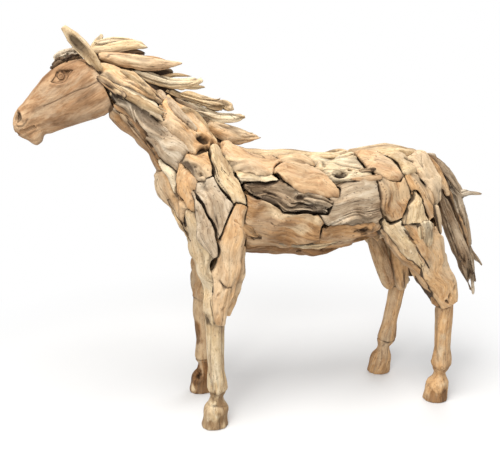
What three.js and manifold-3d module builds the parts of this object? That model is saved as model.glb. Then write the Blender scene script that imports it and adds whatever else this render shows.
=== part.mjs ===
// A life-size standing horse put together from weathered driftwood.
// The head, the ears and the four lower legs are carved. Everything else is boards and sticks of
// driftwood that are laid over the form of a horse, edge to edge, with dark joints between them.
// Millimetres, +Z up, the head towards -X, and the horse's left side towards -Y.

import * as THREE from 'three';
import { mergeVertices } from 'three/addons/utils/BufferGeometryUtils.js';
import Module from 'manifold-3d';

const wasm = await Module();
wasm.setup();

// Driving dimensions, in millimetres
const JOINT_GAP = 3.4;         // between any two pieces of wood
const SMOOTH_OUT = 1.4;        // how far a flat run of small faces may be evened out
const VOLUME_CHANGE = 0.001;   // the most of its volume that a piece may gain or lose by that
const SOLE = 16;               // height of the soles while the horse is laid out
const LEG_SPREAD = 173;        // from the middle plane to the middle of a hoof
const SIDE_REACH = 420;        // how far out a side board's cut reaches
const MIDDLE_REACH = 120;      // the same for a board over the middle plane
const HEAD_SLOPE = 22.1;       // degrees that the face rises from muzzle to poll
const MUZZLE = [-1300, 1385];  // middle of the muzzle, [x, z]
const RING_SIDES = { body: 18, neck: 14, leg: 10, head: 14, stick: 6, hoof: 10 };

// Colours of the wood
const WOOD = {
  carved: 0xbf9a6b,
  honey: 0xc79a60,
  rosy: 0xcda07a,
  pale: 0xd8bd8e,
  grey: 0x9d8a70,
  brown: 0xa97f4e,
};

const vec = (x, y, z) => new THREE.Vector3(x, y, z);

// Solids

function closed(geometry) {
  geometry.deleteAttribute('normal');
  geometry.deleteAttribute('uv');
  const merged = mergeVertices(geometry, 1e-3);
  const build = (triangles) => new wasm.Manifold(new wasm.Mesh({
    numProp: 3,
    vertProperties: new Float32Array(merged.attributes.position.array),
    triVerts: triangles,
  }));
  const triangles = new Uint32Array(merged.index.array);
  const solid = build(triangles);
  return solid.volume() > 0 ? solid : build(triangles.slice().reverse());
}

// A solid skinned over rings that all have the same number of points
function loft(rings) {
  const sides = rings[0].length;
  const points = rings.flat();
  const index = [];
  rings.slice(1).forEach((_, r) => {
    for (let k = 0; k < sides; k++) {
      const [a, b] = [r * sides + k, r * sides + (k + 1) % sides];
      index.push(a, b, b + sides, a, b + sides, a + sides);
    }
  });
  for (const [ring, first, turn] of [[rings[0], 0, 1], [rings.at(-1), points.length - sides, 0]]) {
    const middle = points.push(ring.reduce((sum, p) => sum.add(p), vec(0, 0, 0)).divideScalar(sides)) - 1;
    for (let k = 0; k < sides; k++) {
      const [a, b] = [first + k, first + (k + 1) % sides];
      index.push(middle, ...(turn ? [b, a] : [a, b]));
    }
  }
  const geometry = new THREE.BufferGeometry().setFromPoints(points);
  geometry.setIndex(index);
  return closed(geometry);
}

// An oval ring about a middle, with two half axes. A power over 2 squares it off.
function ring(middle, axisA, axisB, sides, power = 2) {
  const bulge = (value) => Math.sign(value) * Math.abs(value) ** (2 / power);
  return Array.from({ length: sides }, (_, k) => {
    const turn = (2 * Math.PI * (k + 0.5)) / sides;
    return middle.clone()
      .addScaledVector(axisA, bulge(Math.cos(turn)))
      .addScaledVector(axisB, bulge(Math.sin(turn)));
  });
}

// The horse's form, which the boards follow. lift moves its surface outwards.

// Barrel, from breast to rump: [x, top, underside, half width]
const TRUNK = [
  [-672, 1085, 985, 55], [-640, 1160, 905, 120], [-585, 1230, 852, 168], [-500, 1262, 815, 190],
  [-400, 1270, 788, 202], [-250, 1255, 768, 215], [-90, 1242, 752, 222], [90, 1232, 772, 220],
  [240, 1246, 812, 214], [365, 1260, 845, 206], [465, 1238, 860, 184], [545, 1190, 860, 148],
  [598, 1140, 880, 95],
];

// Neck: [throat x, throat z, crest x, crest z, half width]
const NECK = [
  [-955, 1436, -1015, 1645, 64], [-884, 1376, -905, 1640, 78], [-832, 1326, -812, 1598, 90],
  [-774, 1262, -670, 1497, 108], [-734, 1182, -530, 1388, 134], [-712, 1076, -400, 1290, 162],
  [-650, 958, -260, 1235, 176],
];

// Upper legs, downwards: [z, middle x, middle from the centre plane, half length, half width]
const UPPER_LEGS = {
  left_fore: [
    [1170, -560, 105, 70, 70], [1060, -548, 118, 118, 92], [950, -512, 132, 130, 92],
    [850, -490, 146, 116, 84], [740, -484, 160, 98, 72], [640, -494, 168, 74, 63],
    [560, -504, 172, 62, 58], [515, -508, 173, 57, 54],
  ],
  right_fore: [
    [1170, -560, 105, 70, 70], [1060, -540, 118, 118, 92], [950, -505, 132, 114, 92],
    [850, -490, 146, 92, 84], [740, -489, 160, 76, 72], [640, -497, 168, 66, 63],
    [560, -504, 173, 60, 58], [515, -508, 175, 56, 54],
  ],
  left_hind: [
    [1130, 400, 105, 120, 85], [1020, 390, 128, 158, 100], [920, 400, 142, 158, 94],
    [830, 424, 152, 140, 86], [730, 472, 162, 112, 74], [630, 552, 169, 86, 64],
    [560, 588, 171, 72, 58], [505, 604, 172, 62, 54],
  ],
  right_hind: [
    [1130, 395, 105, 120, 85], [1020, 385, 128, 152, 100], [920, 388, 142, 142, 94],
    [830, 404, 152, 122, 86], [730, 446, 162, 96, 74], [630, 494, 169, 76, 64],
    [560, 514, 171, 70, 58], [500, 522, 172, 62, 54],
  ],
};

const sideSign = (leg) => (leg.startsWith('left') ? -1 : 1);

function horseForm(lift) {
  const trunk = TRUNK.map(([x, top, under, half]) => ring(
    vec(x, 0, (top + under) / 2), vec(0, half + lift, 0), vec(0, 0, (top - under) / 2 + lift),
    RING_SIDES.body, 2.25));
  const neck = NECK.map(([throatX, throatZ, crestX, crestZ, half]) => {
    const across = vec(crestX - throatX, 0, crestZ - throatZ).divideScalar(2);
    const middle = vec((crestX + throatX) / 2, 0, (crestZ + throatZ) / 2);
    across.setLength(across.length() + lift);
    return ring(middle, vec(0, half + lift, 0), across, RING_SIDES.neck, 2.2);
  });
  const legs = Object.entries(UPPER_LEGS).map(([leg, levels]) => loft(levels.map(
    ([z, x, out, halfLength, halfWidth]) => ring(
      vec(x, sideSign(leg) * out, z), vec(halfLength + lift, 0, 0), vec(0, halfWidth + lift, 0),
      RING_SIDES.leg, 2.2))));
  return [loft(neck), ...legs].reduce((whole, piece) => whole.add(piece), loft(trunk));
}

const forms = new Map();
function formAt(lift) {
  if (!forms.has(lift)) forms.set(lift, horseForm(lift));
  return forms.get(lift);
}

// The sculpture, with each new piece fitted to the pieces that are already there

const horse = new THREE.Group();
const placed = [];

function place(name, wood, solid, cutter) {
  let fitted = solid;
  const box = solid.boundingBox();
  for (const other of placed) {
    const clear = [0, 1, 2].some((k) => other.box.min[k] > box.max[k] || other.box.max[k] < box.min[k]);
    if (!clear) fitted = fitted.subtract(other.cutter);
  }
  const evened = fitted.simplify(SMOOTH_OUT);
  const change = Math.abs(evened.volume() / fitted.volume() - 1);
  const bodies = (change < VOLUME_CHANGE ? evened : fitted).decompose();
  const biggest = bodies.reduce((a, b) => (b.volume() > a.volume() ? b : a));
  placed.push({ cutter, box: cutter.boundingBox() });
  const { vertProperties, triVerts } = biggest.getMesh();
  const geometry = new THREE.BufferGeometry();
  geometry.setAttribute('position', new THREE.BufferAttribute(vertProperties, 3));
  geometry.setIndex(new THREE.BufferAttribute(triVerts, 1));
  geometry.computeVertexNormals();
  const material = new THREE.MeshStandardMaterial({ color: WOOD[wood], roughness: 0.8, metalness: 0 });
  const mesh = new THREE.Mesh(geometry, material);
  mesh.name = name;
  horse.add(mesh);
}

// Sticks: a bent, tapering length of wood through points, with a half width at each and a flatness

function stick(points, halves, { flat = 0.7, grow = 0, out = vec(0, -1, 0) } = {}) {
  const path = new THREE.CatmullRomCurve3(points.map((p) => vec(...p)));
  const steps = points.length + 1;
  const rings = Array.from({ length: steps + 1 }, (_, k) => {
    const t = k / steps;
    const along = path.getTangent(t);
    const wide = along.clone().cross(out).normalize();
    const thick = wide.clone().cross(along).normalize();
    const place = t * (halves.length - 1);
    const low = Math.min(Math.floor(place), halves.length - 2);
    const half = THREE.MathUtils.lerp(halves[low], halves[low + 1], place - low) + grow;
    const middle = path.getPoint(t);
    if (k === 0) middle.addScaledVector(along, -grow);
    if (k === steps) middle.addScaledVector(along, grow);
    const thin = (half - grow) * flat + grow;
    return ring(middle, wide.multiplyScalar(half), thick.multiplyScalar(thin), RING_SIDES.stick);
  });
  return loft(rings);
}

function placeSticks(name, wood, sticks) {
  const bundle = (grow) => sticks
    .map(([points, halves, options]) => stick(points, halves, { ...options, grow }))
    .reduce((whole, piece) => whole.add(piece));
  place(name, wood, bundle(0), bundle(JOINT_GAP));
}

// Boards: an outline along a line on the surface, cut down through the horse's form

// The outline has a width at even steps along its length, and bows sideways by bow at its middle.
function boardOutline(length, widths, bow, grow) {
  const steps = widths.length - 1;
  const edge = (side) => widths.map((width, k) => {
    const t = k / steps;
    const end = k === 0 ? -grow : k === steps ? grow : 0;
    return new THREE.Vector2(t * length + end, 4 * bow * t * (1 - t) + side * (width / 2 + grow));
  });
  const smooth = (points) => new THREE.SplineCurve(points).getPoints(steps + 1);
  return new THREE.Shape([...smooth(edge(-1)), ...smooth(edge(1)).reverse()]);
}

// The cut of a board from one point to another, from depth under the line up past the surface
function boardCut(from, to, out, widths, { bow = 0, depth = 0, reach = SIDE_REACH, grow = 0 }) {
  const along = to.clone().sub(from);
  const length = along.length();
  along.normalize();
  const across = out.clone().cross(along).normalize();
  const normal = along.clone().cross(across).normalize();
  const shape = boardOutline(length, widths, bow, grow);
  const height = depth + reach + grow;
  const geometry = new THREE.ExtrudeGeometry(shape, { depth: height, bevelEnabled: false, steps: 1 });
  const start = from.clone().addScaledVector(normal, -depth - grow);
  geometry.applyMatrix4(new THREE.Matrix4().makeBasis(along, across, normal).setPosition(start));
  return closed(geometry);
}

function placeBoard(name, wood, cut, lift) {
  place(name, wood, formAt(lift).intersect(cut(0)), formAt(lift + JOINT_GAP).intersect(cut(JOINT_GAP)));
}

// A board on the left or right side reaches in to the middle plane.
function sideBoard(side, name, wood, [fromX, fromZ], [toX, toZ], widths, { bow = 0, lift = 0 } = {}) {
  const sign = side === 'left' ? -1 : 1;
  const start = sign * JOINT_GAP;
  const cut = (grow) => boardCut(
    vec(fromX, start, fromZ), vec(toX, start, toZ), vec(0, sign, 0), widths, { bow: -sign * bow, grow });
  placeBoard(name, wood, cut, lift);
}

// A board over the middle plane has a thickness, and faces along out.
function middleBoard(name, wood, [fromX, fromZ], [toX, toZ], [outX, outZ], widths, depth, lift = 0) {
  const cut = (grow) => boardCut(
    vec(fromX, 0, fromZ), vec(toX, 0, toZ), vec(outX, 0, outZ), widths, { depth, reach: MIDDLE_REACH, grow });
  placeBoard(name, wood, cut, lift);
}

// Head: rings square to a line from the muzzle to the back of the cheek

const faceTurn = THREE.MathUtils.degToRad(HEAD_SLOPE);
const alongFace = vec(Math.cos(faceTurn), 0, Math.sin(faceTurn));
const upFace = vec(-Math.sin(faceTurn), 0, Math.cos(faceTurn));
const faceFrame = new THREE.Matrix4()
  .makeBasis(alongFace, vec(0, 1, 0), upFace.clone())
  .setPosition(MUZZLE[0], 0, MUZZLE[1]);

// The muzzle's section is round, and it gets squarer towards the cheek.
const MUZZLE_ROUND = 2.3;
const CHEEK_SQUARE = 1 / 400;

// Rings along the face: [distance, top, underside, half width]
const FACE = [
  [-21, -12, -34, 20], [-13, 8, -50, 34], [0, 30, -64, 42], [18, 50, -82, 48], [38, 62, -104, 50],
  [62, 70, -103, 50], [88, 84, -88, 52], [130, 108, -86, 62], [180, 134, -89, 76], [240, 155, -95, 88],
  [300, 161, -102, 90], [352, 148, -104, 87], [380, 106, -100, 84], [392, 82, -92, 82],
];

// A geometry moved to a place in the face's own frame, [along, side, up]
function onFace(geometry, [along, side, up]) {
  geometry.translate(along, side, up);
  geometry.applyMatrix4(faceFrame);
  return closed(geometry);
}

// A geometry laid flat on one cheek, where the cheek leans in by some degrees. Its z points outwards.
function onCheek(geometry, [along, out, up], lean, side) {
  const turn = THREE.MathUtils.degToRad(lean);
  const outwards = vec(0, side * Math.cos(turn), Math.sin(turn));
  const upwards = vec(0, -side * Math.sin(turn), Math.cos(turn));
  geometry.applyMatrix4(new THREE.Matrix4().makeBasis(vec(1, 0, 0), upwards, outwards));
  return onFace(geometry, [along, side * out, up]);
}

// The eye's opening as [along, up] from its middle, with its inner corner towards the nose
const EYE_OPENING = [
  [-45, -7], [-21, 6], [-9, 21], [16, 17], [51, 3], [27, -9], [8, -22], [-9, -23], [-26, -17],
];
const EYE = { place: [252, 75, 110], lean: 13, recess: 10, clear: 40, ball: [19, 18, 12] };
const NOSTRIL = { place: [24, 44, 22], lean: 20, halves: [14, 27, 17] };
const MOUTH = { length: 92, height: 8, up: -33, front: -24, closed: 12, tongue: 35 };

function headForm(grow) {
  return loft(FACE.map(([along, top, under, half], k) => {
    const end = k === 0 ? -grow : grow;
    const middle = vec(along + end, 0, (top + under) / 2).applyMatrix4(faceFrame);
    return ring(middle, vec(0, half + grow, 0), upFace.clone().multiplyScalar((top - under) / 2 + grow),
      RING_SIDES.head, MUZZLE_ROUND + along * CHEEK_SQUARE);
  }));
}

function carvedHead() {
  const middle = MOUTH.front + MOUTH.length / 2;
  const gap = new THREE.BoxGeometry(MOUTH.length, 4 * MOUTH.tongue, MOUTH.height);
  const slot = onFace(gap, [middle, 0, MOUTH.up]);
  const block = new THREE.BoxGeometry(MOUTH.length, 2 * MOUTH.tongue, 2 * MOUTH.height);
  const tongue = onFace(block, [middle + MOUTH.closed, 0, MOUTH.up]);
  let head = headForm(0).subtract(slot.subtract(tongue));
  const opening = new THREE.Shape(EYE_OPENING.map(([along, up]) => new THREE.Vector2(along, up)));
  for (const side of [-1, 1]) {
    const cut = new THREE.ExtrudeGeometry(opening, { depth: EYE.clear, bevelEnabled: false })
      .translate(0, 0, -EYE.recess);
    const ball = new THREE.SphereGeometry(1, 8, 6).scale(...EYE.ball).translate(0, 0, -EYE.recess);
    const nostril = new THREE.SphereGeometry(1, 8, 6).scale(...NOSTRIL.halves);
    head = head.subtract(onCheek(cut, EYE.place, EYE.lean, side))
      .add(onCheek(ball, EYE.place, EYE.lean, side))
      .subtract(onCheek(nostril, NOSTRIL.place, NOSTRIL.lean, side));
  }
  return head;
}

place('head', 'carved', carvedHead(), headForm(JOINT_GAP));

// Ears, each a split stick with a scooped hollow

function placeEar(name, base, middle, tip, halves, facing) {
  const blank = (grow) => stick([base, middle, tip], halves, { flat: 0.55, grow, out: vec(...facing) });
  const scoop = new THREE.SphereGeometry(1, 8, 6).scale(62, 20, 19);
  const along = vec(...tip).sub(vec(...base)).normalize();
  const out = vec(...facing).cross(along).normalize().cross(along).negate().normalize();
  scoop.applyMatrix4(new THREE.Matrix4()
    .makeBasis(along, out.clone(), along.clone().cross(out))
    .setPosition(vec(...middle).addScaledVector(out, 24).addScaledVector(along, 12)));
  place(name, 'pale', blank(0).subtract(closed(scoop)), blank(JOINT_GAP));
}

placeEar('ear_left', [-952, -66, 1604], [-1022, -76, 1698], [-1086, -84, 1772],
  [20, 35, 36, 14], [-0.25, -1, -0.1]);
placeEar('ear_right', [-1000, 60, 1640], [-968, 70, 1700], [-938, 78, 1750],
  [18, 24, 22, 9], [-0.6, 1, 0.2]);

// Forelock and mane

placeSticks('forelock', 'grey', [
  [[[-1138, -14, 1624], [-1090, -10, 1658], [-1004, 2, 1686]], [13, 22, 24, 22], {}],
]);

placeSticks('mane_poll', 'pale', [
  [[[-992, 0, 1684], [-850, -8, 1693], [-756, -10, 1690]], [20, 22, 19, 7], {}],
  [[[-985, 8, 1695], [-883, 34, 1721], [-795, 36, 1712]], [16, 20, 16, 5], {}],
  [[[-955, -6, 1648], [-858, -12, 1636], [-774, -12, 1630], [-608, -10, 1631]], [26, 31, 32, 24, 5], {}],
]);

placeSticks('mane_upper', 'pale', [
  [[[-830, 0, 1600], [-701, 0, 1556], [-582, 0, 1543], [-513, 0, 1533]], [20, 24, 22, 9], {}],
  [[[-640, 4, 1546], [-558, 10, 1557], [-524, 10, 1574]], [12, 15, 11], {}],
  [[[-790, 14, 1592], [-692, 34, 1573], [-620, 38, 1578], [-560, 38, 1580]], [14, 18, 16, 8], {}],
]);

placeSticks('mane_lower', 'pale', [
  [[[-690, 0, 1512], [-589, 4, 1480], [-506, 8, 1460], [-396, 10, 1450]], [20, 28, 27, 20], {}],
  [[[-655, 0, 1464], [-507, 0, 1414], [-393, 0, 1399], [-335, 0, 1403]], [20, 26, 26, 9], {}],
  [[[-560, 0, 1395], [-451, 0, 1332], [-380, 0, 1317], [-257, 0, 1308]], [18, 42, 32, 5], {}],
]);

// Tail

placeSticks('tail_outer', 'grey', [
  [[[552, 0, 1196], [652, 4, 1096], [722, 6, 1012], [757, 6, 893], [797, 6, 738], [872, 6, 470]],
    [30, 36, 38, 36, 28, 10], {}],
  [[[735, 4, 1010], [795, 2, 1012], [858, 0, 1004]], [22, 7, 2], {}],
  [[[785, 12, 800], [840, 22, 700], [912, 26, 628]], [20, 20, 10], {}],
]);

placeSticks('tail_inner', 'brown', [
  [[[592, -24, 1110], [655, -30, 985], [722, -28, 800], [785, -26, 640], [838, -22, 503]],
    [26, 34, 34, 22, 8], {}],
  [[[640, -46, 1000], [712, -58, 850], [800, -54, 660]], [20, 24, 10], {}],
]);

// Lower legs: cannon, fetlock, pastern and hoof carved from one length of wood
// [z, forward of the hoof's middle, half length, half width]

const HOOF = [
  [SOLE, 0, 63, 57], [78, 6, 57, 52], [110, 12, 51, 47], [132, 15, 38, 36], [158, 14, 30, 29],
];
const CANNON = [
  [168, 16, 37, 35], [198, 16, 52, 46], [222, 14, 49, 43], [290, 10, 41, 39], [440, 3, 45, 42],
];

// [hoof x, cannon's lean backwards at its top, top z]
const LOWER_LEGS = {
  left_fore: [-523, 6, 560],
  right_fore: [-532, 12, 560],
  left_hind: [586, 16, 550],
  right_hind: [437, 84, 550],
};

const CANNON_REFERENCE = 480;

for (const [leg, [hoofX, lean, top]] of Object.entries(LOWER_LEGS)) {
  const hind = leg.endsWith('hind');
  const levels = [...HOOF, ...CANNON, [top, 0, 46, 42]];
  const limb = (grow) => loft(levels.map(([z, back, halfLength, halfWidth]) => {
    const leaning = lean * Math.max(0, z - HOOF[2][0]) / (CANNON_REFERENCE - HOOF[2][0]);
    const grownZ = z === top ? z + grow : z === SOLE ? z - grow : z;
    return ring(vec(hoofX + back + leaning, sideSign(leg) * LEG_SPREAD, grownZ),
      vec(halfLength + grow, 0, 0), vec(0, halfWidth + grow, 0), RING_SIDES.hoof, hind ? 2.1 : 2.3);
  }));
  place(`lower_leg_${leg}`, leg === 'right_fore' ? 'brown' : 'pale', limb(0), limb(JOINT_GAP));
}

// Boards over the middle plane: [from], [to], [out], widths, thickness, lift

middleBoard('back_plank', 'pale', [-395, 1262], [150, 1232], [0, 1], [70, 120, 150, 150, 120, 70], 52, 4);
middleBoard('croup_plank', 'pale', [120, 1238], [505, 1222], [0.05, 1], [60, 150, 190, 180, 110], 60, 8);
middleBoard('throat', 'brown', [-945, 1428], [-738, 1186], [-0.76, -0.65], [96, 110, 130, 150, 150], 60, 4);
middleBoard('breast', 'honey', [-736, 1182], [-590, 860], [-0.91, -0.41], [150, 190, 190, 150, 90], 56, 6);
middleBoard('belly_keel', 'brown', [-340, 778], [330, 835], [0.03, -1], [70, 130, 140, 120, 60], 50, 0);
middleBoard('rump', 'honey', [500, 1228], [600, 1010], [0.9, 0.42], [110, 150, 150, 90], 70, 4);

// Left side, uppermost boards first: name, wood, [from], [to], widths along it, bow and lift

const LEFT_BOARDS = [
  ['forearm_outer', 'honey', [-402, 1050], [-502, 528], [50, 84, 90, 106, 114, 76, 40],
    { bow: -16, lift: 14 }],
  ['scapula_strip', 'pale', [-520, 1296], [-402, 1040], [22, 66, 88, 68, 46], { bow: 4, lift: 10 }],
  ['shoulder_blade', 'grey', [-524, 1162], [-488, 914], [112, 165, 150, 92, 42, 14], { bow: 8, lift: 10 }],
  ['upper_arm', 'grey', [-592, 1118], [-522, 838], [22, 60, 78, 92, 74, 26], { bow: 6, lift: 12 }],
  ['shoulder_top', 'honey', [-640, 1246], [-440, 1108], [44, 112, 140, 112, 44], { bow: 34, lift: 6 }],
  ['shoulder_front', 'honey', [-642, 1228], [-602, 1034], [34, 76, 82, 62, 22], { bow: 0, lift: 10 }],
  ['chest_twist', 'pale', [-738, 1240], [-684, 1062], [14, 66, 92, 60, 12], { bow: 0, lift: 6 }],
  ['forearm_rear', 'honey', [-404, 905], [-458, 556], [46, 62, 56, 38, 16], { bow: 6, lift: 4 }],
  ['forearm_front', 'pale', [-602, 1040], [-544, 522], [70, 92, 84, 60, 50, 30], { bow: 2, lift: 2 }],
  ['chest_front', 'brown', [-720, 1092], [-606, 876], [50, 110, 110, 70, 16], { bow: 4, lift: 2 }],
  ['neck_side', 'grey', [-960, 1520], [-634, 1188], [70, 128, 168, 176, 140], { bow: 0, lift: 6 }],
  ['neck_rear', 'honey', [-706, 1478], [-508, 1246], [70, 112, 122, 112, 74], { bow: 4, lift: 4 }],
  ['neck_strip_low', 'pale', [-1000, 1580], [-706, 1424], [40, 60, 70, 72, 50], { bow: 0, lift: 10 }],
  ['neck_strip_high', 'honey', [-1010, 1672], [-694, 1452], [80, 94, 92, 72, 30], { bow: 0, lift: 6 }],
  ['rib_upper', 'rosy', [-240, 1188], [34, 1090], [14, 84, 108, 92, 18], { bow: 6, lift: 12 }],
  ['rib_grey', 'grey', [-392, 1130], [-6, 1022], [24, 66, 104, 132, 126, 72], { bow: 0, lift: 8 }],
  ['back_front', 'rosy', [-464, 1278], [-190, 1206], [50, 116, 122, 100, 16], { bow: -12, lift: 6 }],
  ['back_mid', 'pale', [-254, 1262], [-56, 1208], [12, 56, 62, 44, 10], { bow: 0, lift: 8 }],
  ['flank_strip', 'pale', [-428, 1198], [-154, 1036], [56, 92, 104, 92, 60, 18], { bow: 12, lift: 2 }],
  ['croup_side', 'rosy', [158, 1238], [336, 1140], [24, 76, 84, 82, 34], { bow: 0, lift: 10 }],
  ['croup_upper', 'pale', [264, 1240], [420, 1156], [16, 58, 66, 62, 26], { bow: 0, lift: 12 }],
  ['hip', 'honey', [424, 1224], [540, 1016], [64, 88, 84, 64, 34], { bow: 16, lift: 10 }],
  ['thigh_triangle', 'pale', [392, 1080], [398, 922], [12, 62, 106, 118], { bow: 0, lift: 14 }],
  ['thigh_top', 'brown', [264, 1168], [322, 942], [112, 134, 148, 128, 64], { bow: 8, lift: 8 }],
  ['thigh_rear', 'grey', [316, 1154], [486, 952], [60, 120, 140, 124, 90], { bow: 10, lift: 2 }],
  ['gaskin_outer', 'honey', [398, 950], [612, 516], [96, 126, 136, 132, 122, 86], { bow: 10, lift: 10 }],
  ['gaskin_front', 'pale', [264, 964], [462, 710], [50, 82, 80, 72, 42], { bow: 0, lift: 8 }],
  ['gaskin_rear', 'brown', [500, 1032], [668, 546], [26, 54, 50, 46, 48, 34], { bow: 4, lift: 4 }],
  ['gaskin_shin', 'grey', [262, 906], [566, 500], [60, 84, 84, 80, 76, 60], { bow: -4, lift: 0 }],
  ['spine_slab', 'pale', [-120, 1200], [250, 1186], [50, 116, 140, 120, 80], { bow: 0, lift: 4 }],
  ['barrel_lower', 'brown', [-430, 1010], [-40, 912], [170, 250, 240, 190, 84], { bow: 0, lift: 6 }],
  ['barrel_rear', 'grey', [-70, 1012], [300, 1052], [96, 170, 200, 210, 200], { bow: 0, lift: 2 }],
  ['belly_mid', 'brown', [-80, 876], [330, 930], [60, 112, 130, 130, 90], { bow: -6, lift: 2 }],
  ['belly_front', 'honey', [-440, 900], [-20, 790], [150, 180, 170, 130, 60], { bow: 0, lift: 0 }],
];

for (const [name, wood, from, to, widths, options] of LEFT_BOARDS) {
  sideBoard('left', name, wood, from, to, widths, options);
}

// Right side, in fewer and broader boards

const RIGHT_BOARDS = [
  ['right_forearm', 'honey', [-520, 900], [-536, 516], [260, 250, 200, 150, 124], { lift: 8 }],
  ['right_shoulder', 'grey', [-590, 1260], [-500, 900], [120, 290, 330, 330, 280], { lift: 6 }],
  ['right_neck', 'brown', [-960, 1560], [-520, 1180], [240, 290, 320, 360, 420], { lift: 4 }],
  ['right_thigh', 'honey', [340, 1250], [380, 850], [250, 420, 460, 420, 330], { lift: 6 }],
  ['right_gaskin', 'pale', [380, 850], [522, 498], [340, 310, 240, 180, 130], { lift: 2 }],
  ['right_ribs_upper', 'pale', [-480, 1150], [240, 1140], [240, 260, 260, 260, 240], { lift: 4 }],
  ['right_ribs_lower', 'honey', [-480, 900], [320, 920], [260, 300, 320, 300, 260], { lift: 0 }],
];

for (const [name, wood, from, to, widths, options] of RIGHT_BOARDS) {
  sideBoard('right', name, wood, from, to, widths, options);
}

// The origin is on the ground, under the middle of the whole figure.

const extent = new THREE.Box3().setFromObject(horse);
const centre = extent.getCenter(vec(0, 0, 0));
horse.position.set(-centre.x, -centre.y, -extent.min.z);

export default horse;
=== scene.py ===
# %% [markdown]
# # A driftwood horse
# The real sculpture is a life-size standing horse. Its head and lower legs are carved, and all the
# rest is driftwood: slabs, strips and sticks that the sea has rounded, laid edge to edge over a frame.
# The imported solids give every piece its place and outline. Here each piece is worn down, grooved and
# coloured, and the small sticks that the solids leave out are added.
# Everything is in metres, with the head towards -X and the horse's left side towards -Y.

# %% Load the frame
import itertools
import math

import bpy
import numpy as np
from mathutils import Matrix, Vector
from mathutils.bvhtree import BVHTree


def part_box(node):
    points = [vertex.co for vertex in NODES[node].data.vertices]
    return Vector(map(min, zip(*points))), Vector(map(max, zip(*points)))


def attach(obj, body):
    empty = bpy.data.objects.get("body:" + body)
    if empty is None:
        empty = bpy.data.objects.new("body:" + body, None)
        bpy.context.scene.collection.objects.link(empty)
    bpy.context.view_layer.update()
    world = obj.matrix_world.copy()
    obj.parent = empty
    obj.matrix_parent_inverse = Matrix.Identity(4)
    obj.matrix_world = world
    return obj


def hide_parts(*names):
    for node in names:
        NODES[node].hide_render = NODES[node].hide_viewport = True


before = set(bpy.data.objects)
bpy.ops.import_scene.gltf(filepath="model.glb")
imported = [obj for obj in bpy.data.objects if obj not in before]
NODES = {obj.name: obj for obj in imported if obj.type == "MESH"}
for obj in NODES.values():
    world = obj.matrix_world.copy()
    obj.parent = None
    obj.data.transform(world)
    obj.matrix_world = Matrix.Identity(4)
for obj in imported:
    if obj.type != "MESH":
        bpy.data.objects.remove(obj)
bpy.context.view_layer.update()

print("nodes of the frame:", len(NODES))

# %% [markdown]
# ## Where things are
# The boards were laid out in millimetres from a point between the fore feet and the hind feet. `at`
# turns such a point into a place in the frame, so one set of measures serves the whole file.

# %% Places
ORIGIN_SHIFT = Vector((0.1984, 0.0032, -0.016))
MM = 0.001


def at(x, y, z):
    return Vector((x, y, z)) * MM + ORIGIN_SHIFT


def deselect():
    if bpy.context.object is not None and bpy.context.object.mode != "OBJECT":
        bpy.ops.object.mode_set(mode="OBJECT")
    bpy.ops.object.select_all(action="DESELECT")


def choose(piece):
    deselect()
    piece.select_set(True)
    bpy.context.view_layer.objects.active = piece


# %% [markdown]
# ## Node trees written like sums
# The floor, the sky and the wood are node trees. A small class adds one node with each call and gives
# back its output, so that a tree reads from top to bottom like a calculation.

# %% Recipe for a node tree
class Recipe:
    """Adds nodes to a tree. What a call is given is a number, a colour or another node's output."""

    def __init__(self, tree):
        self.tree = tree

    def fill(self, node, *values, **named):
        """Fills inputs in their order or by name, with _ for a space in the name."""
        sockets = [socket for socket in node.inputs if socket.enabled]
        by_name = {socket.name: socket for socket in sockets}
        pairs = list(zip(sockets, values))
        pairs += [(by_name[key.replace("_", " ")], value) for key, value in named.items()]
        for socket, value in pairs:
            if isinstance(value, bpy.types.NodeSocket):
                self.tree.links.new(value, socket)
            elif socket.type == "RGBA":
                socket.default_value = (*value, 1)
            else:
                socket.default_value = value
        return node

    def node(self, kind, *values, settings=(), **named):
        node = self.tree.nodes.new(kind)
        for key, value in dict(settings).items():
            setattr(node, key, value)
        return self.fill(node, *values, **named)

    def out(self, kind, *values, **rest):
        """Adds a node and gives its first output that is in use."""
        node = self.node(kind, *values, **rest)
        return [socket for socket in node.outputs if socket.enabled][0]

    def math(self, operation, first, second=0.0):
        return self.out("ShaderNodeMath", first, second, settings={"operation": operation})

    def times(self, first, second):
        return self.math("MULTIPLY", first, second)

    def plus(self, first, second):
        return self.math("ADD", first, second)

    def step(self, value, low, high, least=0.0):
        """A soft step from least to 1 between low and high."""
        return self.out("ShaderNodeMapRange", value, low, high, least,
                        settings={"interpolation_type": "SMOOTHSTEP"})

    def noise(self, vector, stretch, offset=(0, 0, 0), detail=3.0, roughness=0.55, distortion=0.0):
        places = self.out("ShaderNodeMapping", Vector=vector, Location=offset, Scale=stretch)
        return self.out("ShaderNodeTexNoise", Vector=places, Scale=1.0, Detail=detail,
                        Roughness=roughness, Distortion=distortion)

    def mix(self, share, first, second, blend="MIX"):
        return self.out("ShaderNodeMix", share, first, second,
                        settings={"data_type": "RGBA", "blend_type": blend})


# %% [markdown]
# ## Camera
# The horse was photographed by someone standing a few steps off its left shoulder, who looked a
# little down and back along the body. A camera is turned by saying which way its back points.

# %% Camera
CAMERA_TURN = math.radians(-12.80)
CAMERA_TILT = math.radians(13.67)
bpy.ops.object.camera_add(location=(-0.7626, -2.8318, 1.603))
camera = bpy.context.object
back = Vector((
    math.sin(CAMERA_TURN) * math.cos(CAMERA_TILT),
    -math.cos(CAMERA_TURN) * math.cos(CAMERA_TILT),
    math.sin(CAMERA_TILT),
))
camera.rotation_euler = back.to_track_quat("Z", "Y").to_euler()
camera.data.lens = 46.8
camera.data.sensor_width = 36.0
bpy.context.scene.camera = camera
print("camera looks along", [round(-value, 3) for value in back])

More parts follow.
